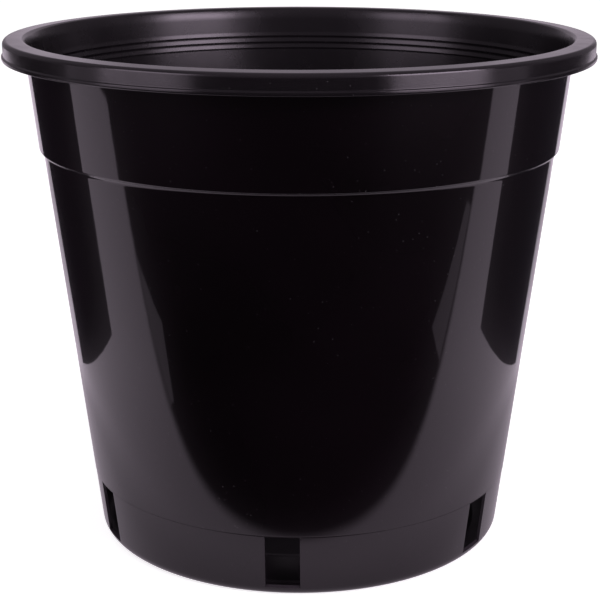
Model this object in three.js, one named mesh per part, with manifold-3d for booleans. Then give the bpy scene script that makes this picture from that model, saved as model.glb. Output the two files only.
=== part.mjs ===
// A ten-litre round bucket-pot for cut flowers and nursery stock, moulded in black polypropylene.
// Millimetres, +Z up, origin on the ground at the centre of the foot. One drainage slot faces -Y.
//
// The object is one thin-walled moulding. It is built here as the bands that its steps and creases
// divide it into, from the ground up: foot ring, raised floor, slotted band, side wall, collar,
// rim flange and rim skirt. Neighbouring bands meet on a level plane.
import * as THREE from "three";
import { mergeVertices } from "three/addons/utils/BufferGeometryUtils.js";
import Module from "manifold-3d";

const wasm = await Module();
wasm.setup();

// Overall
const HEIGHT = 244.4;
const RIM_RADIUS = 140; // over the bead, the widest line
const WALL = 1.6; // thickness, measured level
const SEGMENTS = 72; // sides of every turned band, a multiple of the slot count

// Side wall: a cone whose outer line would meet the ground at FOOT_RADIUS
const FOOT_RADIUS = 100.2;
const WALL_SLOPE = 0.1164; // millimetres outward for each millimetre up
const BAND_TOP = 31.2; // crease above the slots
const BAND_RECESS = 0.15; // the slotted band stands back from the wall by this much

// Foot: a rounded corner, a flat ring to stand on, and a riser to the raised floor
const CORNER_RADIUS = 5.75;
const FOOT_SEAM = 2.2;
const RING_INNER_RADIUS = 86;
const RING_EDGE = 1.2; // rounding of the foot ring's inner lower edge
const FLOOR_TOP = 14;
const FLOOR_EDGE = 1.6; // rounding of the raised floor's rim
const RISER_DRAFT = 0.12;

// Drainage slots through the slotted band
const SLOT_COUNT = 6;
const SLOT_WIDTH = 16;
const SLOT_BOTTOM = 5.25;
const SLOT_TOP = 30.7;
const SLOT_CUT_DEPTH = 20;

// Collar: a slightly wider cone that steps out above the wall
const STEP_HEIGHT = 192.5;
const COLLAR_RADIUS = 124.4;
const COLLAR_SLOPE = 0.1068;
const STEP_ROUND = 1.9;
const STEP_ROUND_START = -75; // degrees, where the rounding leaves the step's flat underside
const LEDGE_RISE = 3.6; // height of the matching ledge inside

// Three low stacking rings inside the collar
const STACK_RING_COUNT = 3;
const STACK_RING_BOTTOM = 222.2;
const STACK_RING_PITCH = 3.25;
const STACK_RING_HEIGHT = 2.5;
const STACK_RING_PROUD = 0.4;

// Rim: a flange that turns outward, and a skirt that hangs from its edge
const RIM_SEAM = 238.5;
const FLARE_RADIUS = 17.3; // the mouth's first, gentle curve outward from the collar
const FLARE_END = 22; // degrees from upright, where the flare runs into the crest
const LAND_DROP = 0.25; // the flange falls by this much from the crest to the skirt
const SKIRT_OUTER = 139.3;
const SKIRT_THICKNESS = 1.5;
const SKIRT_BOTTOM = 234.9;
const SKIRT_EDGE = 2; // rounding between the flange and the skirt
const BEAD_HEIGHT = 2;
const BEAD_EDGE = 0.8;

const wallRadius = (z) => FOOT_RADIUS + WALL_SLOPE * z;
const collarRadius = (z) => COLLAR_RADIUS + COLLAR_SLOPE * (z - STEP_HEIGHT);
const bandRadius = (z) => wallRadius(z) - BAND_RECESS;

// Points on an arc about (r, z), with angles in degrees measured from the outward direction.
function arc(r, z, radius, fromDegrees, toDegrees, steps) {
  const points = [];
  for (let i = 0; i <= steps; i++) {
    const angle = THREE.MathUtils.degToRad(fromDegrees + ((toDegrees - fromDegrees) * i) / steps);
    points.push([r + radius * Math.cos(angle), z + radius * Math.sin(angle)]);
  }
  return points;
}

// A solid of revolution about Z. The outline runs up the outside and down the inside.
function turned(outline) {
  const points = outline.map(([r, z]) => new THREE.Vector2(r, z));
  const onAxis = outline[0][0] === 0 && outline.at(-1)[0] === 0;
  if (!onAxis) points.push(points[0].clone());
  return new THREE.LatheGeometry(points, SEGMENTS).rotateX(Math.PI / 2);
}

function toSolid(geometry) {
  const bare = geometry.index ? geometry.toNonIndexed() : geometry.clone();
  bare.deleteAttribute("normal");
  bare.deleteAttribute("uv");
  const merged = mergeVertices(bare, 1e-4);
  const vertProperties = merged.attributes.position.array;
  const triVerts = new Uint32Array(merged.index.array);
  return new wasm.Manifold(new wasm.Mesh({ numProp: 3, vertProperties, triVerts }));
}

function toGeometry(solid) {
  const mesh = solid.getMesh();
  const geometry = new THREE.BufferGeometry();
  geometry.setAttribute("position", new THREE.BufferAttribute(mesh.vertProperties, 3));
  geometry.setIndex(new THREE.BufferAttribute(mesh.triVerts, 1));
  geometry.computeVertexNormals();
  return geometry;
}

// The corner between the ground and the wall: outer and inner surfaces share one centre.
const cornerRadius = bandRadius(CORNER_RADIUS) - CORNER_RADIUS * Math.hypot(1, WALL_SLOPE);
const cornerInside = CORNER_RADIUS - WALL;
const draftDegrees = THREE.MathUtils.radToDeg(Math.atan(WALL_SLOPE));

function cornerAngle(radius, z) {
  return THREE.MathUtils.radToDeg(Math.asin((z - CORNER_RADIUS) / radius));
}

function footRing() {
  const outerSeam = cornerAngle(CORNER_RADIUS, FOOT_SEAM);
  const innerSeam = cornerAngle(cornerInside, FOOT_SEAM);
  return turned([
    [RING_INNER_RADIUS, RING_EDGE],
    [RING_INNER_RADIUS + RING_EDGE, 0],
    ...arc(cornerRadius, CORNER_RADIUS, CORNER_RADIUS, -90, outerSeam, 3),
    ...arc(cornerRadius, CORNER_RADIUS, cornerInside, innerSeam, -90, 2),
    [RING_INNER_RADIUS + 2 * WALL, WALL],
    [RING_INNER_RADIUS + WALL, FOOT_SEAM],
    [RING_INNER_RADIUS, FOOT_SEAM],
  ]);
}

function raisedFloor() {
  const risen = FLOOR_TOP - FOOT_SEAM;
  const underside = FLOOR_TOP - WALL;
  const topRadius = RING_INNER_RADIUS + WALL - RISER_DRAFT * risen;
  return turned([
    [0, underside],
    [topRadius - WALL - FLOOR_EDGE, underside],
    [topRadius - WALL, underside - FLOOR_EDGE],
    [RING_INNER_RADIUS, FOOT_SEAM],
    [RING_INNER_RADIUS + WALL, FOOT_SEAM],
    ...arc(topRadius - FLOOR_EDGE, FLOOR_TOP - FLOOR_EDGE, FLOOR_EDGE, 0, 90, 3),
    [0, FLOOR_TOP],
  ]);
}

function slottedBand() {
  const outerSeam = cornerAngle(CORNER_RADIUS, FOOT_SEAM);
  const innerSeam = cornerAngle(cornerInside, FOOT_SEAM);
  const band = turned([
    ...arc(cornerRadius, CORNER_RADIUS, CORNER_RADIUS, outerSeam, -draftDegrees, 3),
    [bandRadius(BAND_TOP), BAND_TOP],
    [wallRadius(BAND_TOP) - WALL, BAND_TOP],
    ...arc(cornerRadius, CORNER_RADIUS, cornerInside, -draftDegrees, innerSeam, 2),
  ]);
  const slotHeight = SLOT_TOP - SLOT_BOTTOM;
  let solid = toSolid(band);
  for (let i = 0; i < SLOT_COUNT; i++) {
    const cutter = new THREE.BoxGeometry(SLOT_WIDTH, SLOT_CUT_DEPTH, slotHeight)
      .translate(0, -bandRadius(SLOT_TOP), SLOT_BOTTOM + slotHeight / 2)
      .rotateZ((i * 2 * Math.PI) / SLOT_COUNT);
    solid = solid.subtract(toSolid(cutter));
  }
  return toGeometry(solid);
}

function sideWall() {
  return turned([
    [wallRadius(BAND_TOP), BAND_TOP],
    [wallRadius(STEP_HEIGHT), STEP_HEIGHT],
    [wallRadius(STEP_HEIGHT) - WALL, STEP_HEIGHT],
    [wallRadius(BAND_TOP) - WALL, BAND_TOP],
  ]);
}

// Inside surface of the collar from the rim seam down, with the stacking rings standing in from it.
function collarInside() {
  const points = [[collarRadius(RIM_SEAM) - WALL, RIM_SEAM]];
  for (let i = STACK_RING_COUNT - 1; i >= 0; i--) {
    const bottom = STACK_RING_BOTTOM + i * STACK_RING_PITCH;
    const top = bottom + STACK_RING_HEIGHT;
    points.push([collarRadius(top) - WALL, top]);
    points.push([collarRadius(top) - WALL - STACK_RING_PROUD, top - STACK_RING_PROUD]);
    points.push([collarRadius(bottom) - WALL - STACK_RING_PROUD, bottom + STACK_RING_PROUD]);
    points.push([collarRadius(bottom) - WALL, bottom]);
  }
  return points;
}

function collar() {
  const roundHeight = STEP_HEIGHT + STEP_ROUND;
  const ledgeTop = STEP_HEIGHT + LEDGE_RISE;
  return turned([
    [wallRadius(STEP_HEIGHT), STEP_HEIGHT],
    ...arc(collarRadius(roundHeight) - STEP_ROUND, roundHeight, STEP_ROUND, STEP_ROUND_START, 0, 3),
    [collarRadius(RIM_SEAM), RIM_SEAM],
    ...collarInside(),
    [collarRadius(ledgeTop) - WALL, ledgeTop],
    [wallRadius(roundHeight) - WALL, roundHeight],
    [wallRadius(STEP_HEIGHT) - WALL, STEP_HEIGHT],
  ]);
}

// The mouth turns outward in two arcs, a flare and then a tighter crest. Its outer and inner surfaces
// share their centres, so the moulding keeps its thickness round the turn.
const collarDraft = THREE.MathUtils.radToDeg(Math.atan(COLLAR_SLOPE));
const flareStart = THREE.MathUtils.degToRad(collarDraft);
const flareEnd = THREE.MathUtils.degToRad(FLARE_END);
const flareCentre = [
  collarRadius(RIM_SEAM) - WALL + FLARE_RADIUS * Math.cos(flareStart),
  RIM_SEAM - FLARE_RADIUS * Math.sin(flareStart),
];
const crestFoot = [
  flareCentre[0] - FLARE_RADIUS * Math.cos(flareEnd),
  flareCentre[1] + FLARE_RADIUS * Math.sin(flareEnd),
];
const crestRound = (HEIGHT - crestFoot[1]) / (1 - Math.sin(flareEnd));
const crestCentre = [crestFoot[0] + crestRound * Math.cos(flareEnd), HEIGHT - crestRound];
const skirtTop = HEIGHT - LAND_DROP - SKIRT_EDGE;

function rimFlange() {
  const skirtInner = SKIRT_OUTER - SKIRT_THICKNESS;
  const flareFrom = 180 - collarDraft;
  const flareTo = 180 - FLARE_END;
  return turned([
    [collarRadius(RIM_SEAM), RIM_SEAM],
    ...arc(...flareCentre, FLARE_RADIUS - WALL, flareFrom, flareTo, 3).slice(1),
    ...arc(...crestCentre, crestRound - WALL, flareTo, 90, 3).slice(1),
    [skirtInner, HEIGHT - LAND_DROP - WALL],
    [skirtInner, skirtTop],
    ...arc(SKIRT_OUTER - SKIRT_EDGE, skirtTop, SKIRT_EDGE, 0, 90, 4),
    ...arc(...crestCentre, crestRound, 90, flareTo, 4),
    ...arc(...flareCentre, FLARE_RADIUS, flareTo, flareFrom, 3).slice(1),
  ]);
}

function rimSkirt() {
  const skirtInner = SKIRT_OUTER - SKIRT_THICKNESS;
  const beadTop = SKIRT_BOTTOM + BEAD_HEIGHT;
  return turned([
    [skirtInner, SKIRT_BOTTOM],
    [RIM_RADIUS - BEAD_EDGE, SKIRT_BOTTOM],
    [RIM_RADIUS, SKIRT_BOTTOM + BEAD_EDGE],
    [RIM_RADIUS, beadTop - BEAD_EDGE],
    [SKIRT_OUTER, beadTop],
    [SKIRT_OUTER, skirtTop],
    [skirtInner, skirtTop],
  ]);
}

const glossBlack = { color: 0x0a080a, roughness: 0.1, metalness: 0 };
const satinBlack = { color: 0x141316, roughness: 0.35, metalness: 0 };

const bands = [
  ["foot_ring", footRing, glossBlack],
  ["raised_floor", raisedFloor, satinBlack],
  ["slotted_band", slottedBand, glossBlack],
  ["side_wall", sideWall, glossBlack],
  ["collar", collar, glossBlack],
  ["rim_flange", rimFlange, satinBlack],
  ["rim_skirt", rimSkirt, satinBlack],
];

const bucket = new THREE.Group();
for (const [name, shape, finish] of bands) {
  const mesh = new THREE.Mesh(shape(), new THREE.MeshStandardMaterial(finish));
  mesh.name = name;
  bucket.add(mesh);
}

export default bucket;
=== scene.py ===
"""A florist bucket in black polypropylene: glossy outside, with a satin rim and inside."""
import math

import bmesh
import bpy
from mathutils import Matrix, Vector


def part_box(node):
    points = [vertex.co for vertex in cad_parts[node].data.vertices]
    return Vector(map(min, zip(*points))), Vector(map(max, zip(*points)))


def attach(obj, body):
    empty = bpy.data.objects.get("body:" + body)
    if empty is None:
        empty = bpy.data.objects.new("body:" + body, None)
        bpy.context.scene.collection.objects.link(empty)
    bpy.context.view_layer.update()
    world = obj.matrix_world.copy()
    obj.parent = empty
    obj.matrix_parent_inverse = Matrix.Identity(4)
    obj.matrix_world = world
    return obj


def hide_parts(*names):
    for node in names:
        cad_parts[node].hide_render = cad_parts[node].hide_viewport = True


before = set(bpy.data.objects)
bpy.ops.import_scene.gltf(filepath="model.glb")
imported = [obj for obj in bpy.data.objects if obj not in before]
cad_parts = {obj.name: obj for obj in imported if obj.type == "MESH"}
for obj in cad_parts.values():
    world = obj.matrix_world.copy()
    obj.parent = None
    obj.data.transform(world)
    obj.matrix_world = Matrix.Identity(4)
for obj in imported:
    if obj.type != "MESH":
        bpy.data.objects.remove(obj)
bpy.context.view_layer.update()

MM = 0.001

# ---------------------------------------------------------------- sizes, in millimetres


def top_and_radius(node):
    """Height of a node's upper end, and the node's largest radius."""
    _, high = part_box(node)
    return high.z / MM, high.x / MM


FOOT_SEAM, _ = top_and_radius("foot_ring")
FLOOR_TOP, RISER_FOOT = top_and_radius("raised_floor")
BAND_TOP, BAND_TOP_RADIUS = top_and_radius("slotted_band")
STEP_HEIGHT, WALL_TOP_RADIUS = top_and_radius("side_wall")
RIM_SEAM, COLLAR_TOP_RADIUS = top_and_radius("collar")
HEIGHT, SKIRT_OUTER = top_and_radius("rim_flange")
SKIRT_TOP, RIM_RADIUS = top_and_radius("rim_skirt")
SKIRT_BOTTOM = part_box("rim_skirt")[0].z / MM

# Walls
WALL = 1.6
BAND_RECESS = 0.15  # the slotted band stands back from the wall by this much
WALL_SLOPE = (WALL_TOP_RADIUS - BAND_TOP_RADIUS - BAND_RECESS) / (STEP_HEIGHT - BAND_TOP)
COLLAR_SLOPE = 0.1068

# Foot
CORNER_RADIUS = 5.75
RING_INNER = RISER_FOOT - WALL
RING_EDGE = 1.2
FLOOR_EDGE = 1.6
FLOOR_MIDDLE = 40  # radius of a ring of points on the flat floor
RISER_DRAFT = 0.12

# Slots
SLOT_COUNT = 6
SLOT_WIDTH = 16.0
SLOT_BOTTOM = 5.25
SLOT_TOP = 30.7
SLOT_EDGE = 0.2  # rounding of the slots' edges
SILL_FALL = 0.65  # the sills fall outward by this much

# Crease above the slots: a chamfer, with a slight ease where it starts
CREASE = 0.22
CREASE_EASE_HEIGHT = 0.05
CREASE_EASE_INSET = 0.01

# Step under the collar: a fillet below, a rounding above, and the ledge inside
STEP_FILLET = 2.4
STEP_LEAN = 69  # degrees from upright, where the fillet meets the rounding
STEP_DROP = 2.05  # from the seam down to the fillet's centre
LEDGE_START = 1.9
LEDGE_RISE = 3.6

# Stacking rings
STACK_RINGS = 3
STACK_BOTTOM = 222.2
STACK_PITCH = 3.25
STACK_HEIGHT = 2.5
STACK_PROUD = 0.14
STACK_SLOPE = 0.6  # height of the slope at each edge of a ring

# Rim
FLARE_RADIUS = 17.3
FLARE_END = 22  # degrees from upright, where the flare meets the crest
LAND_DROP = 0.25  # the flange falls by this much from the crest to the skirt
SKIRT_THICKNESS = 1.5
SKIRT_EDGE = HEIGHT - LAND_DROP - SKIRT_TOP
SKIRT_INNER_EDGE = 0.4
BEAD_HEIGHT = 2.0
BEAD_EDGE = 0.8
BEAD_SHOULDER = 0.35  # radius of the two arcs between the bead and the skirt
BEAD_SHOULDER_TURN = 50  # degrees that each of them turns

# Mesh
SEGMENTS = 360  # sides of a turned shell
TOUCHING = 1e-6  # points closer than this count as one
SHARP_ANGLE = math.radians(34)
SOFT_BEND = 0.01  # radians, the least bend that needs a support
SUPPORT = 0.25  # distance of a support from its bend
CORNER_ROWS = 8  # rows of faces up the rounded corner
SLOT_ROWS = 12  # even steps up a slot
SLOT_CELLS = 10  # columns of faces across a slot
GAP_CELLS = 44  # columns of faces between two slots
GAP_EDGES = (0.013, 0.03)  # places of the first columns beside a slot, as shares of the gap
SLOT_MARGIN = 0.8  # distance from a slot's ends to the nearest row


def wall_radius(z):
    return WALL_TOP_RADIUS + WALL_SLOPE * (z - STEP_HEIGHT)


def band_radius(z):
    return wall_radius(z) - BAND_RECESS


def collar_radius(z):
    return COLLAR_TOP_RADIUS + COLLAR_SLOPE * (z - RIM_SEAM)


def arc(r, z, radius, start, end, steps):
    """Points on an arc about (r, z). Angles are in degrees from the outward direction."""
    turns = [math.radians(start + (end - start) * i / steps) for i in range(steps + 1)]
    return [(r + radius * math.cos(t), z + radius * math.sin(t)) for t in turns]


def spread(start, end, count):
    """Evenly spaced outline points from start to end."""
    return [tuple(a + (b - a) * i / count for a, b in zip(start, end)) for i in range(count + 1)]


# ---------------------------------------------------------------- shader nodes


def scaled(colour, factor):
    """A colour with its red, green and blue times a factor."""
    return (*(factor * part for part in colour[:3]), 1.0)


class Nodes:
    """Short calls that add nodes to a node tree."""

    def __init__(self, tree):
        self.tree = tree

    def link(self, value, socket):
        """Links another node's output to a socket, or sets the socket to a plain value."""
        if isinstance(value, bpy.types.NodeSocket):
            self.tree.links.new(value, socket)
        else:
            socket.default_value = value

    def add(self, kind, inputs, **settings):
        """A new node with its settings. inputs maps its sockets, by name or number, to values for link."""
        node = self.tree.nodes.new(kind)
        for name, value in settings.items():
            setattr(node, name, value)
        for socket, value in inputs.items():
            self.link(value, node.inputs[socket])
        return node

    def along(self, place, axis):
        return self.add("ShaderNodeSeparateXYZ", {"Vector": place}).outputs[axis]

    def remap(self, value, low, high, to_low=0.0, to_high=1.0):
        ends = {"From Min": low, "From Max": high, "To Min": to_low, "To Max": to_high}
        return self.add("ShaderNodeMapRange", {"Value": value, **ends}).outputs["Result"]

    def gradient(self, value, stops, colour):
        """Shares of a colour along a value, from stops that list (value, share)."""
        low, high = stops[0][0], stops[-1][0]
        ramp = self.add("ShaderNodeValToRGB", {"Fac": self.remap(value, low, high)})
        ramp.color_ramp.interpolation = "EASE"
        elements = ramp.color_ramp.elements
        while len(elements) < len(stops):
            elements.new(0.5)
        for element, (place, share) in zip(elements, stops):
            element.position = (place - low) / (high - low)
            element.color = scaled(colour, share)
        return ramp.outputs["Color"]


class Shader(Nodes):
    """A Principled material and the textures that feed it, all in object coordinates."""

    def __init__(self, name):
        self.material = bpy.data.materials.new(name)
        self.material.use_nodes = True
        super().__init__(self.material.node_tree)
        self.surface = self.tree.nodes["Principled BSDF"]
        self.place = self.add("ShaderNodeTexCoord", {}).outputs["Object"]

    def set(self, values):
        """Links or sets inputs of the surface."""
        for name, value in values.items():
            self.link(value, self.surface.inputs[name])

    def noise(self, scale, detail=3.0, roughness=0.5, stretch=(1.0, 1.0, 1.0)):
        """Noise from 0 to 1. stretch makes it finer along some of the axes."""
        place = self.place
        if stretch != (1.0, 1.0, 1.0):
            place = self.add("ShaderNodeMapping", {"Vector": place, "Scale": stretch}).outputs["Vector"]
        grain = {"Scale": scale, "Detail": detail, "Roughness": roughness}
        return self.add("ShaderNodeTexNoise", {"Vector": place, **grain}).outputs["Fac"]

    def dust(self, scale, size):
        """1 on small scattered specks and 0 elsewhere."""
        specks = self.add("ShaderNodeTexVoronoi", {"Vector": self.place, "Scale": scale})
        return self.remap(specks.outputs["Distance"], size * 0.5, size, 1.0, 0.0)

    def sum(self, a, b):
        return self.add("ShaderNodeMath", {0: a, 1: b}, operation="ADD").outputs["Value"]

    def blend(self, factor, a, b, blend_type="MIX"):
        mix = self.add("ShaderNodeMix", {}, data_type="RGBA", blend_type=blend_type)
        for name, value in (("Factor", factor), ("A", a), ("B", b)):
            self.link(value, mix.inputs[name])
        return mix.outputs["Result"]

    def bump(self, height, depth, strength=1.0):
        inputs = {"Strength": strength, "Distance": depth, "Height": height}
        return self.add("ShaderNodeBump", inputs).outputs["Normal"]


# ---------------------------------------------------------------- materials

# The plastic's reflections are a little short of green.
TINT = (1.0, 0.96, 1.0, 1.0)

GLOSS_DARKER = (0.0014, 0.0004, 0.0010, 1.0)
GLOSS_PALER = (0.0024, 0.0008, 0.0019, 1.0)
GLOSS_DUST = (0.03, 0.028, 0.03, 1.0)
SATIN_DARKER = (0.0030, 0.0022, 0.0030, 1.0)
SATIN_PALER = (0.0046, 0.0036, 0.0046, 1.0)
SATIN_DUST = (0.04, 0.038, 0.04, 1.0)


def gloss_black():
    """Polished outside: nearly mirror smooth, with a faint haze, specks of dust and handling marks."""
    shader = Shader("gloss_black")
    tone = shader.remap(shader.noise(9.0), 0.35, 0.65)
    body = shader.blend(tone, GLOSS_DARKER, GLOSS_PALER)
    haze = shader.remap(shader.noise(22.0, 4.0, 0.6), 0.35, 0.75, 0.03, 0.065)
    rubs = shader.noise(14.0, 5.0, 0.7, stretch=(6.0, 6.0, 1.0))
    rubbed = shader.remap(rubs, 0.66, 0.74, 0.0, 0.06)
    shader.set({
        "Base Color": shader.blend(shader.dust(260.0, 0.075), body, GLOSS_DUST),
        "Roughness": shader.sum(haze, rubbed),
        "Normal": shader.bump(shader.noise(45.0, 2.0), 0.00003),
        "IOR": 1.44,
        "Specular Tint": TINT,
        "Coat Weight": 0.28,
        "Coat Roughness": 0.34,
        "Coat IOR": 1.45,
    })
    return shader.material


def satin_black(name, smoothest, roughest, specular=0.5, paleness=1.0):
    """Fine spark-eroded texture, with a roughness from smoothest to roughest. The last argument makes its
    base colour paler by that factor.
    """
    shader = Shader(name)
    tone = shader.remap(shader.noise(14.0), 0.3, 0.7)
    body = shader.blend(tone, scaled(SATIN_DARKER, paleness), scaled(SATIN_PALER, paleness))
    shader.set({
        "Base Color": shader.blend(shader.dust(240.0, 0.06), body, SATIN_DUST),
        "Roughness": shader.remap(shader.noise(60.0, 4.0, 0.6), 0.3, 0.7, smoothest, roughest),
        "Normal": shader.bump(shader.noise(1500.0, 2.0), 0.00002, 0.6),
        "IOR": 1.5,
        "Specular IOR Level": specular,
        "Specular Tint": TINT,
    })
    return shader.material


MATERIALS = {
    "gloss": gloss_black(),
    "rim": satin_black("rim_satin", 0.15, 0.22),
    "satin": satin_black("satin_black", 0.23, 0.3),
    # The dull inside surfaces get a base colour five times paler.
    "dull": satin_black("dull_black", 0.42, 0.55, specular=0.35, paleness=5.0),
}
FINISHES = list(MATERIALS)

# ---------------------------------------------------------------- mesh building


def finish_piece(bm, node):
    """Makes a shaded piece that stands for its CAD node."""
    bmesh.ops.recalc_face_normals(bm, faces=bm.faces)
    name = node + "_shell"
    mesh = bpy.data.meshes.new(name)
    bm.to_mesh(mesh)
    bm.free()
    mesh.polygons.foreach_set("use_smooth", [True] * len(mesh.polygons))
    mesh.set_sharp_from_angle(angle=SHARP_ANGLE)
    for material in MATERIALS.values():
        mesh.materials.append(material)
    piece = bpy.data.objects.new(name, mesh)
    bpy.context.scene.collection.objects.link(piece)
    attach(piece, "root")
    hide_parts(node)


def ring_of(bm, r, z, turns):
    """Vertices at a radius and a height, one for each azimuth in turns."""
    return [bm.verts.new((r * MM * math.cos(t), r * MM * math.sin(t), z * MM)) for t in turns]


def add_face(bm, corners, finish):
    bm.faces.new(corners).material_index = FINISHES.index(finish)


def is_soft(before, point, after):
    """Whether an outline turns at a point, but too little for a sharp edge."""
    turn = (Vector(point) - Vector(before)).angle(Vector(after) - Vector(point))
    return SOFT_BEND < turn < SHARP_ANGLE


def supported(outline):
    """Adds a point near each soft bend at the end of a straight stretch, to keep its shading flat."""
    points = [point for point, _ in outline]
    result = []
    for i, (point, finish) in enumerate(outline):
        start, end = Vector(points[i - 1]), Vector(point)
        length = (end - start).length
        if i > 0 and length > 4 * SUPPORT:
            near = start.lerp(end, SUPPORT / length)
            far = end.lerp(start, SUPPORT / length)
            if i > 1 and is_soft(points[i - 2], start, end):
                result.append((tuple(near), finish))
            if is_soft(start, end, points[(i + 1) % len(points)]):
                result.append((tuple(far), finish))
        result.append((point, finish))
    return result


def revolve(node, runs):
    """A closed solid of revolution. runs lists (finish, points) up the outside and down the inside."""
    outline = []
    for key, points in runs:
        for point in points:
            if not outline or math.dist(outline[-1][0], point) > TOUCHING:
                outline.append((point, key))
    outline = supported(outline)
    bm = bmesh.new()
    turns = [2 * math.pi * i / SEGMENTS for i in range(SEGMENTS)]
    rings = []
    for (r, z), _ in outline:
        if r < TOUCHING:
            rings.append([bm.verts.new((0, 0, z * MM))] * SEGMENTS)
        else:
            rings.append(ring_of(bm, r, z, turns))
    on_axis = outline[0][0][0] < TOUCHING and outline[-1][0][0] < TOUCHING
    for i in range(len(rings) - 1 if on_axis else len(rings)):
        following = (i + 1) % len(rings)
        a, b = rings[i], rings[following]
        for j in range(SEGMENTS):
            k = (j + 1) % SEGMENTS
            corners = list(dict.fromkeys([a[j], a[k], b[k], b[j]]))
            add_face(bm, corners, outline[following][1])
    finish_piece(bm, node)


# ---------------------------------------------------------------- foot

DRAFT = math.degrees(math.atan(WALL_SLOPE))
CORNER_CENTRE = band_radius(CORNER_RADIUS) - CORNER_RADIUS * math.hypot(1, WALL_SLOPE)
CORNER_INSIDE = CORNER_RADIUS - WALL


def corner_angle(radius, z):
    """Where an arc about the foot corner's centre has the height z, in degrees."""
    return math.degrees(math.asin((z - CORNER_RADIUS) / radius))


def corner_arc(radius, start, end, steps):
    return arc(CORNER_CENTRE, CORNER_RADIUS, radius, start, end, steps)


def make_foot_ring():
    outer = corner_angle(CORNER_RADIUS, FOOT_SEAM)
    inner = corner_angle(CORNER_INSIDE, FOOT_SEAM)
    revolve("foot_ring", [
        ("satin", arc(RING_INNER + RING_EDGE, RING_EDGE, RING_EDGE, 180, 270, 8)),
        ("gloss", corner_arc(CORNER_RADIUS, -90, outer, 14)),
        ("dull", corner_arc(CORNER_INSIDE, inner, -90, 8)),
        ("dull", [(RING_INNER + 2 * WALL, WALL), (RING_INNER + WALL, FOOT_SEAM)]),
        ("dull", [(RING_INNER, FOOT_SEAM)]),
    ])


def make_raised_floor():
    underside = FLOOR_TOP - WALL
    top_radius = RISER_FOOT - RISER_DRAFT * (FLOOR_TOP - FOOT_SEAM)
    inner_round = FLOOR_EDGE + WALL
    revolve("raised_floor", [
        ("dull", [(0, underside), (FLOOR_MIDDLE, underside)]),
        ("dull", arc(top_radius - WALL - inner_round, underside - inner_round, inner_round, 90, 0, 10)),
        ("dull", [(RING_INNER, FOOT_SEAM), (RISER_FOOT, FOOT_SEAM)]),
        ("dull", arc(top_radius - FLOOR_EDGE, FLOOR_TOP - FLOOR_EDGE, FLOOR_EDGE, 0, 90, 10)),
        ("dull", [(FLOOR_MIDDLE, FLOOR_TOP), (0, FLOOR_TOP)]),
    ])


# ---------------------------------------------------------------- slotted band


def band_rows():
    """Rows of the slotted band, each (outer radius, inner radius, outer z, inner z), and the first
    and last of them that bound the slots."""
    outer_start = corner_angle(CORNER_RADIUS, FOOT_SEAM)
    outer_end = corner_angle(CORNER_RADIUS, SLOT_BOTTOM - SILL_FALL)
    inner_start = corner_angle(CORNER_INSIDE, FOOT_SEAM)
    inner_end = corner_angle(CORNER_INSIDE, SLOT_BOTTOM)
    outer = corner_arc(CORNER_RADIUS, outer_start, outer_end, CORNER_ROWS)
    inner = corner_arc(CORNER_INSIDE, inner_start, inner_end, CORNER_ROWS)
    rows = [(o[0], i[0], o[1], i[1]) for o, i in zip(outer, inner)]
    slot_height = SLOT_TOP - SLOT_BOTTOM
    heights = [SLOT_BOTTOM + SLOT_MARGIN]
    heights += [SLOT_BOTTOM + slot_height * i / SLOT_ROWS for i in range(1, SLOT_ROWS)]
    heights += [SLOT_TOP - SLOT_MARGIN, SLOT_TOP]
    rows += [(band_radius(z), wall_radius(z) - WALL, z, z) for z in heights]
    last = len(rows) - 1
    crease_foot = BAND_TOP - CREASE
    for z, inset in (
        (crease_foot - CREASE_EASE_HEIGHT, 0),
        (crease_foot, CREASE_EASE_INSET),
        (BAND_TOP, CREASE),
    ):
        rows.append((band_radius(z) - inset, wall_radius(z) - WALL, z, z))
    return rows, CORNER_ROWS, last


def band_turns(radius):
    """Azimuths of the band's columns at a radius, from the front slot's left side all the way round."""
    slot_half_angle = math.asin(SLOT_WIDTH / 2 / radius)
    sector = 2 * math.pi / SLOT_COUNT
    gap = sector - 2 * slot_half_angle
    half = SLOT_CELLS // 2
    columns = [slot_half_angle * i / half for i in range(-half, half + 1)]
    beside = len(GAP_EDGES)
    shares = [*GAP_EDGES, *(i / GAP_CELLS for i in range(beside + 1, GAP_CELLS - beside))]
    shares += [1 - share for share in reversed(GAP_EDGES)]
    columns += [slot_half_angle + gap * share for share in shares]
    return [-math.pi / 2 + i * sector + column for i in range(SLOT_COUNT) for column in columns]


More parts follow.
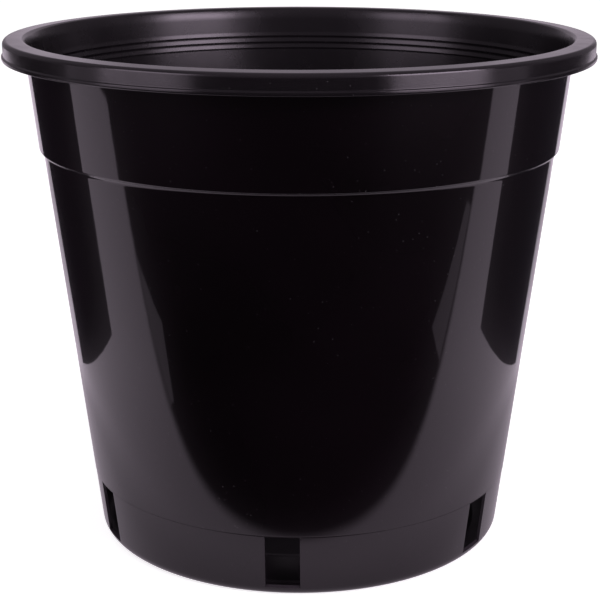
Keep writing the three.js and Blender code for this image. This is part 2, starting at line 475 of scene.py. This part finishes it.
def make_slotted_band():
    rows, first, last = band_rows()
    bm = bmesh.new()
    outer = []
    inner = []
    for outer_radius, inner_radius, outer_z, inner_z in rows:
        outer.append(ring_of(bm, outer_radius, outer_z, band_turns(outer_radius)))
        inner.append(ring_of(bm, inner_radius, inner_z, band_turns(inner_radius)))
    count = len(outer[0])
    per_sector = count // SLOT_COUNT
    for row in range(len(rows) - 1):
        for j in range(count):
            k = (j + 1) % count
            if first <= row < last and j % per_sector < SLOT_CELLS:
                continue
            add_face(bm, (outer[row][j], outer[row][k], outer[row + 1][k], outer[row + 1][j]), "gloss")
            add_face(bm, (inner[row][k], inner[row][j], inner[row + 1][j], inner[row + 1][k]), "dull")
    slot_edges = []

    def reveal(a, b, row_a, row_b):
        """One face of a slot's thickness, between two neighbouring points of its outline."""
        add_face(bm, (outer[row_a][a], outer[row_b][b], inner[row_b][b], inner[row_a][a]), "dull")
        slot_edges.append((outer[row_a][a], outer[row_b][b]))
        slot_edges.append((inner[row_a][a], inner[row_b][b]))

    for left in range(0, count, per_sector):
        right = left + SLOT_CELLS
        for row in range(first, last):
            reveal(left, left, row, row + 1)
            reveal(right, right, row, row + 1)
        for j in range(left, right):
            reveal(j, j + 1, first, first)
            reveal(j, j + 1, last, last)
    for j in range(count):
        k = (j + 1) % count
        add_face(bm, (outer[0][k], outer[0][j], inner[0][j], inner[0][k]), "gloss")
        add_face(bm, (outer[-1][j], outer[-1][k], inner[-1][k], inner[-1][j]), "gloss")
    edges = [bm.edges.get(pair) for pair in slot_edges]
    bmesh.ops.bevel(bm, geom=edges, offset=SLOT_EDGE * MM, segments=3, profile=0.5, affect="EDGES")
    finish_piece(bm, "slotted_band")


# ---------------------------------------------------------------- wall and collar

COLLAR_DRAFT = math.degrees(math.atan(COLLAR_SLOPE))


def step_arcs():
    """The concave arc under the step and the convex one above it: both centres and the latter's radius."""
    lean = math.radians(STEP_LEAN)
    reach = COLLAR_SLOPE * math.sin(lean) + math.cos(lean)
    wall_slant = math.hypot(1, WALL_SLOPE)
    height = STEP_HEIGHT - STEP_DROP
    gap = collar_radius(height) - wall_radius(height)
    round_radius = (gap + STEP_FILLET * (reach - wall_slant)) / (math.hypot(1, COLLAR_SLOPE) - reach)
    fillet_centre = (wall_radius(height) + STEP_FILLET * wall_slant, height)
    apart = STEP_FILLET + round_radius
    round_centre = (fillet_centre[0] - apart * math.cos(lean), height + apart * math.sin(lean))
    return fillet_centre, round_centre, round_radius


def make_side_wall():
    fillet_centre, _, _ = step_arcs()
    foot = arc(wall_radius(BAND_TOP) - BAND_RECESS, BAND_TOP + BAND_RECESS, BAND_RECESS, -90, -DRAFT, 4)
    fillet = arc(*fillet_centre, STEP_FILLET, 180 - DRAFT, 180 - STEP_LEAN, 10)
    inside_top = (wall_radius(STEP_HEIGHT) - WALL, STEP_HEIGHT)
    inside_bottom = (wall_radius(BAND_TOP) - WALL, BAND_TOP)
    revolve("side_wall", [
        ("gloss", foot + spread(foot[-1], fillet[0], 24) + fillet),
        ("satin", spread(inside_top, inside_bottom, 24)),
    ])


def stack_rings():
    """Inside of the collar from the top ring down, with the stacking rings standing in from it."""
    points = []
    for i in reversed(range(STACK_RINGS)):
        bottom = STACK_BOTTOM + i * STACK_PITCH
        top = bottom + STACK_HEIGHT
        inside_top = collar_radius(top) - WALL
        inside_bottom = collar_radius(bottom) - WALL
        points.append((inside_top, top))
        points.append((inside_top - STACK_PROUD, top - STACK_SLOPE))
        points.append((inside_bottom - STACK_PROUD, bottom + STACK_SLOPE))
        points.append((inside_bottom, bottom))
    return points


def make_collar():
    _, round_centre, round_radius = step_arcs()
    step = arc(*round_centre, round_radius, -STEP_LEAN, -COLLAR_DRAFT, 14)
    ledge_start = STEP_HEIGHT + LEDGE_START
    ledge_top = STEP_HEIGHT + LEDGE_RISE
    revolve("collar", [
        ("gloss", step + spread(step[-1], (COLLAR_TOP_RADIUS, RIM_SEAM), 10)),
        ("satin", [(COLLAR_TOP_RADIUS - WALL, RIM_SEAM)] + stack_rings()),
        ("satin", [(collar_radius(ledge_top) - WALL, ledge_top)]),
        ("satin", [(wall_radius(ledge_start) - WALL, ledge_start)]),
        ("satin", [(wall_radius(STEP_HEIGHT) - WALL, STEP_HEIGHT)]),
    ])


# ---------------------------------------------------------------- rim

SKIRT_INNER = SKIRT_OUTER - SKIRT_THICKNESS


def mouth_arcs():
    """The flare inside the mouth and the crest that ends it: both centres and the crest's radius."""
    start = math.radians(COLLAR_DRAFT)
    end = math.radians(FLARE_END)
    inside = COLLAR_TOP_RADIUS - WALL
    flare = (inside + FLARE_RADIUS * math.cos(start), RIM_SEAM - FLARE_RADIUS * math.sin(start))
    foot = (flare[0] - FLARE_RADIUS * math.cos(end), flare[1] + FLARE_RADIUS * math.sin(end))
    crest_radius = (HEIGHT - foot[1]) / (1 - math.sin(end))
    crest = (foot[0] + crest_radius * math.cos(end), HEIGHT - crest_radius)
    return flare, crest, crest_radius


def make_rim_flange():
    flare, crest, crest_radius = mouth_arcs()
    under_flare = arc(*flare, FLARE_RADIUS - WALL, 180 - COLLAR_DRAFT, 180 - FLARE_END, 8)
    land_underside = HEIGHT - LAND_DROP - WALL
    revolve("rim_flange", [
        ("gloss", [(COLLAR_TOP_RADIUS, RIM_SEAM)] + under_flare[1:]),
        ("rim", arc(*crest, crest_radius - WALL, 180 - FLARE_END, 90, 8)[1:]),
        ("rim", [(SKIRT_INNER, land_underside), (SKIRT_INNER, SKIRT_TOP), (SKIRT_OUTER, SKIRT_TOP)]),
        ("rim", arc(SKIRT_OUTER - SKIRT_EDGE, SKIRT_TOP, SKIRT_EDGE, 0, 90, 14)),
        ("rim", arc(*crest, crest_radius, 90, 180 - FLARE_END, 14)),
        ("satin", arc(*flare, FLARE_RADIUS, 180 - FLARE_END, 180 - COLLAR_DRAFT, 10)),
    ])


def make_rim_skirt():
    bead_top = SKIRT_BOTTOM + BEAD_HEIGHT
    inner_edge = (SKIRT_INNER + SKIRT_INNER_EDGE, SKIRT_BOTTOM + SKIRT_INNER_EDGE)
    bead_edge = (RIM_RADIUS - BEAD_EDGE, SKIRT_BOTTOM + BEAD_EDGE)
    shoulder = (RIM_RADIUS - BEAD_SHOULDER, bead_top - BEAD_SHOULDER)
    neck = (SKIRT_OUTER + BEAD_SHOULDER, bead_top + BEAD_SHOULDER)
    revolve("rim_skirt", [
        ("rim", arc(*inner_edge, SKIRT_INNER_EDGE, 180, 270, 4)),
        ("rim", arc(*bead_edge, BEAD_EDGE, -90, 0, 10)),
        ("rim", arc(*shoulder, BEAD_SHOULDER, 0, BEAD_SHOULDER_TURN, 6)),
        ("rim", arc(*neck, BEAD_SHOULDER, 180 + BEAD_SHOULDER_TURN, 180, 6)),
        ("rim", [(SKIRT_OUTER, SKIRT_TOP), (SKIRT_INNER, SKIRT_TOP)]),
    ])


for make in (make_foot_ring, make_raised_floor, make_slotted_band, make_side_wall,
             make_collar, make_rim_flange, make_rim_skirt):
    make()

# ---------------------------------------------------------------- studio, in metres

# The studio's own frame has its camera on -Y. It is turned a little from the bucket's, so that the
# front slot stands just left of the middle of the picture.
STUDIO = Matrix.Rotation(math.radians(4.32), 4, "Z")

CAMERA_DISTANCE = 0.7473
CAMERA_HEIGHT = 0.3265
CAMERA_PITCH = 15.985  # degrees below level
CAMERA_LENS = 93.48  # millimetres
CAMERA_SHIFT = 0.0011

LIGHT = (1.0, 0.86, 1.01, 1.0)  # colour of the lamps, the lit table and the backdrop
WHITE = (1.0, 1.0, 1.0, 1.0)
BLACK = (0.0, 0.0, 0.0, 1.0)

FLOOR_HALF = 3.0
FLOOR_COLOUR = (0.86, 0.86, 0.86, 1.0)
FLOOR_GLOW = 0.74
DIFFUSE_FILL = 0.46

# The lit table lies just under the floor. Its left front corner is cut off. It fades at its front
# edge and towards its back, and the bucket's soft shadow lies on it.
TABLE_LEVEL = -0.0005
TABLE_HALF = 1.25
TABLE_FRONT = -0.150
TABLE_BACK = 0.75
TABLE_CUT = [(-TABLE_HALF, 0.06), (-0.95, -0.06), (-0.882, -0.1), (-0.835, -0.138), (-0.79, TABLE_FRONT)]
TABLE_RADIANCE = 0.97
TABLE_FADE = [(TABLE_FRONT, 0), (-0.137, 1), (0.15, 1), (0.42, 0.66)]
SHADOW_CENTRE = (0, 0.1, 0)
SHADOW = [(0.15, 0.48), (0.19, 0.55), (0.235, 0.82), (0.36, 1)]

# Bright floor behind the table, in two parts with a gap between: the left and right side of each
FAR_FLOOR_RADIANCE = 0.9
FAR_FLOORS = {"far_floor_left": (-TABLE_HALF, -0.2), "far_floor_right": (0.3, TABLE_HALF)}

# Dim patches that reach out in front of the table
APRON_RADIANCE = 0.4
APRONS = {
    "apron_right": [(0.261, -0.143), (0.287, -0.191), (0.526, -0.172), (0.526, -0.143)],
    "apron_left": [(-0.205, -0.143), (-0.205, -0.155), (-0.3, -0.182), (-0.441, -0.145)],
}

# Each card: its near end, its far end and its colour
CARD_HEIGHT = 0.195
CARDS = {
    "card_left": ((-0.333, 0.0), (-0.228, 0.172), (0.018, 0.014, 0.019, 1)),
    "card_right": ((0.342, -0.030), (0.228, 0.172), (0.030, 0.026, 0.033, 1)),
}

BACKDROP_PLACE = 1.9
BACKDROP_HALF = 2.6
BACKDROP_TOP = 2.4
BACKDROP_RADIANCE = 0.96
BACKDROP_SHADE = [(-1.0, 0.2), (-0.6, 0.4), (-0.43, 0.7), (-0.3, 0.42),
                  (0.3, 0.46), (0.38, 0.62), (0.5, 0.6), (1.0, 0.2)]

# Each softbox: the azimuths of its two sides in degrees, its radiance, and its shade by height
SOFTBOX_DISTANCE = 1.6
SOFTBOX_TOP = 1.2
SOFTBOXES = {
    "softbox_left": (-75, -39, 3.4, [(0, 0.66), (0.38, 0.42), (0.85, 1)]),
    "softbox_right": (33, 69.6, 8.5, [(0, 0.44), (0.38, 0.29), (0.85, 1)]),
}

# Low panels beside the softboxes, each by the azimuths of its two sides
SIDE_TOP = 0.3
SIDE_RADIANCE = 0.55
SIDES = {"side_left": (-93, -75), "side_right": (69.6, 90)}

# Brightness of the room in a reflection, by how far up its direction points
ROOM = [(-0.3, 0.0), (-0.14, 0.03), (0.0, 0.12), (0.1, 0.19), (1.0, 0.4)]


def add_camera():
    camera = bpy.data.objects.new("camera", bpy.data.cameras.new("camera"))
    bpy.context.scene.collection.objects.link(camera)
    place = Matrix.Translation((0, -CAMERA_DISTANCE, CAMERA_HEIGHT))
    tilt = Matrix.Rotation(math.radians(90 - CAMERA_PITCH), 4, "X")
    camera.matrix_world = STUDIO @ place @ tilt
    camera.data.lens = CAMERA_LENS
    camera.data.shift_x = CAMERA_SHIFT
    bpy.context.scene.camera = camera


def add_panel(name, corners, material):
    """A flat stage panel from its corners in the studio's frame."""
    mesh = bpy.data.meshes.new(name)
    mesh.from_pydata([Vector(corner) for corner in corners], [], [tuple(range(len(corners)))])
    mesh.materials.append(material)
    panel = bpy.data.objects.new(name, mesh)
    panel.matrix_world = STUDIO
    bpy.context.scene.collection.objects.link(panel)
    return panel


def add_reflected(name, corners, material):
    """A panel that shows only in reflections."""
    panel = add_panel(name, corners, material)
    panel.visible_camera = False
    panel.visible_diffuse = False
    panel.visible_shadow = False


def rectangle(left, right, near, far):
    """Corners of a rectangle on the ground plan."""
    return [(left, near), (right, near), (right, far), (left, far)]


def level(corners, z):
    """Corners on the ground plan, all at the height z."""
    return [(x, y, z) for x, y in corners]


def upright(left, right, top):
    """Corners of a panel that stands between two places on the ground plan."""
    return [(*left, 0), (*right, 0), (*right, top), (*left, top)]


def glowing(name, radiance, colour=LIGHT):
    """A shader that only glows."""
    shader = Shader(name)
    shader.set({
        "Base Color": BLACK,
        "Specular IOR Level": 0.0,
        "Emission Color": colour,
        "Emission Strength": radiance,
    })
    return shader


def shaded_glow(name, radiance, axis, stops):
    """A glow that changes along an axis, from stops that list (place, share of the radiance)."""
    shader = glowing(name, radiance)
    shader.set({"Emission Color": shader.gradient(shader.along(shader.place, axis), stops, LIGHT)})
    return shader.material


def add_floor():
    """The pale floor. Reflections see the lit table and its dim aprons in place of it."""
    shader = Shader("pale_floor")
    shader.set({
        "Base Color": FLOOR_COLOUR,
        "Roughness": 1.0,
        "Specular IOR Level": 0.0,
        "Emission Color": WHITE,
        "Emission Strength": FLOOR_GLOW,
    })
    shader.material.cycles.emission_sampling = "NONE"
    outline = rectangle(-FLOOR_HALF, FLOOR_HALF, -FLOOR_HALF, FLOOR_HALF)
    floor = add_panel("floor", level(outline, 0), shader.material)
    floor.visible_glossy = False


def table_glow():
    shader = glowing("table_glow", TABLE_RADIANCE)
    apart = shader.add("ShaderNodeVectorMath", {0: shader.place, 1: SHADOW_CENTRE}, operation="DISTANCE")
    fade = shader.gradient(shader.along(shader.place, "Y"), TABLE_FADE, LIGHT)
    shadow = shader.gradient(apart.outputs["Value"], SHADOW, WHITE)
    shader.set({"Emission Color": shader.blend(1.0, fade, shadow, "MULTIPLY")})
    return shader.material


def add_table():
    outline = [*TABLE_CUT, (TABLE_HALF, TABLE_FRONT), (TABLE_HALF, TABLE_BACK), (-TABLE_HALF, TABLE_BACK)]
    add_reflected("table", level(outline, TABLE_LEVEL), table_glow())
    bright = glowing("far_floor_glow", FAR_FLOOR_RADIANCE).material
    for name, (left, right) in FAR_FLOORS.items():
        outline = rectangle(left, right, TABLE_BACK, BACKDROP_PLACE)
        add_reflected(name, level(outline, TABLE_LEVEL), bright)
    dim = glowing("apron_glow", APRON_RADIANCE).material
    for name, outline in APRONS.items():
        add_reflected(name, level(outline, TABLE_LEVEL), dim)


def add_cards():
    """Dark cards that stand on the table beside the bucket and give its sides a dark edge."""
    for name, (near, far, colour) in CARDS.items():
        add_reflected(name, upright(near, far, CARD_HEIGHT), glowing(name, 1.0, colour).material)


def add_backdrop():
    """A backdrop that is darker in the middle, behind the bucket."""
    corners = upright((-BACKDROP_HALF, BACKDROP_PLACE), (BACKDROP_HALF, BACKDROP_PLACE), BACKDROP_TOP)
    material = shaded_glow("backdrop_glow", BACKDROP_RADIANCE, "X", BACKDROP_SHADE)
    add_reflected("backdrop", corners, material)


def around(azimuth):
    """A place on the softboxes' circle. Azimuth 0 is towards the camera, and + is right."""
    turn = math.radians(azimuth)
    return (SOFTBOX_DISTANCE * math.sin(turn), -SOFTBOX_DISTANCE * math.cos(turn))


def add_lamp(name, left, right, top, material):
    """A glowing panel between two azimuths, facing the bucket and unseen by the camera."""
    panel = add_panel(name, upright(around(left), around(right), top), material)
    panel.visible_camera = False


def add_softboxes():
    for name, (left, right, radiance, shade) in SOFTBOXES.items():
        add_lamp(name, left, right, SOFTBOX_TOP, shaded_glow(name + "_glow", radiance, "Z", shade))
    side_glow = glowing("side_glow", SIDE_RADIANCE).material
    for name, (left, right) in SIDES.items():
        add_lamp(name, left, right, SIDE_TOP, side_glow)


def add_world():
    """White for the camera, soft fill for matt surfaces, and a dim room in reflections."""
    world = bpy.data.worlds.new("studio")
    bpy.context.scene.world = world
    world.use_nodes = True
    world.cycles.sampling_method = "NONE"
    nodes = Nodes(world.node_tree)
    rays = nodes.add("ShaderNodeLightPath", {})
    direction = nodes.add("ShaderNodeTexCoord", {}).outputs["Generated"]
    room = nodes.tree.nodes["Background"]
    nodes.link(nodes.gradient(nodes.along(direction, "Z"), ROOM, LIGHT), room.inputs["Color"])
    fill = nodes.add("ShaderNodeBackground", {"Strength": DIFFUSE_FILL})
    white = nodes.add("ShaderNodeBackground", {"Color": WHITE})
    unseen = nodes.add("ShaderNodeMixShader", {
        "Fac": rays.outputs["Is Diffuse Ray"],
        1: room.outputs["Background"],
        2: fill.outputs["Background"],
    })
    seen = nodes.add("ShaderNodeMixShader", {
        "Fac": rays.outputs["Is Camera Ray"],
        1: unseen.outputs["Shader"],
        2: white.outputs["Background"],
    })
    nodes.link(seen.outputs["Shader"], nodes.tree.nodes["World Output"].inputs["Surface"])


add_camera()
add_floor()
add_table()
add_cards()
add_backdrop()
add_softboxes()
add_world()
bpy.context.scene.view_settings.view_transform = "Standard"
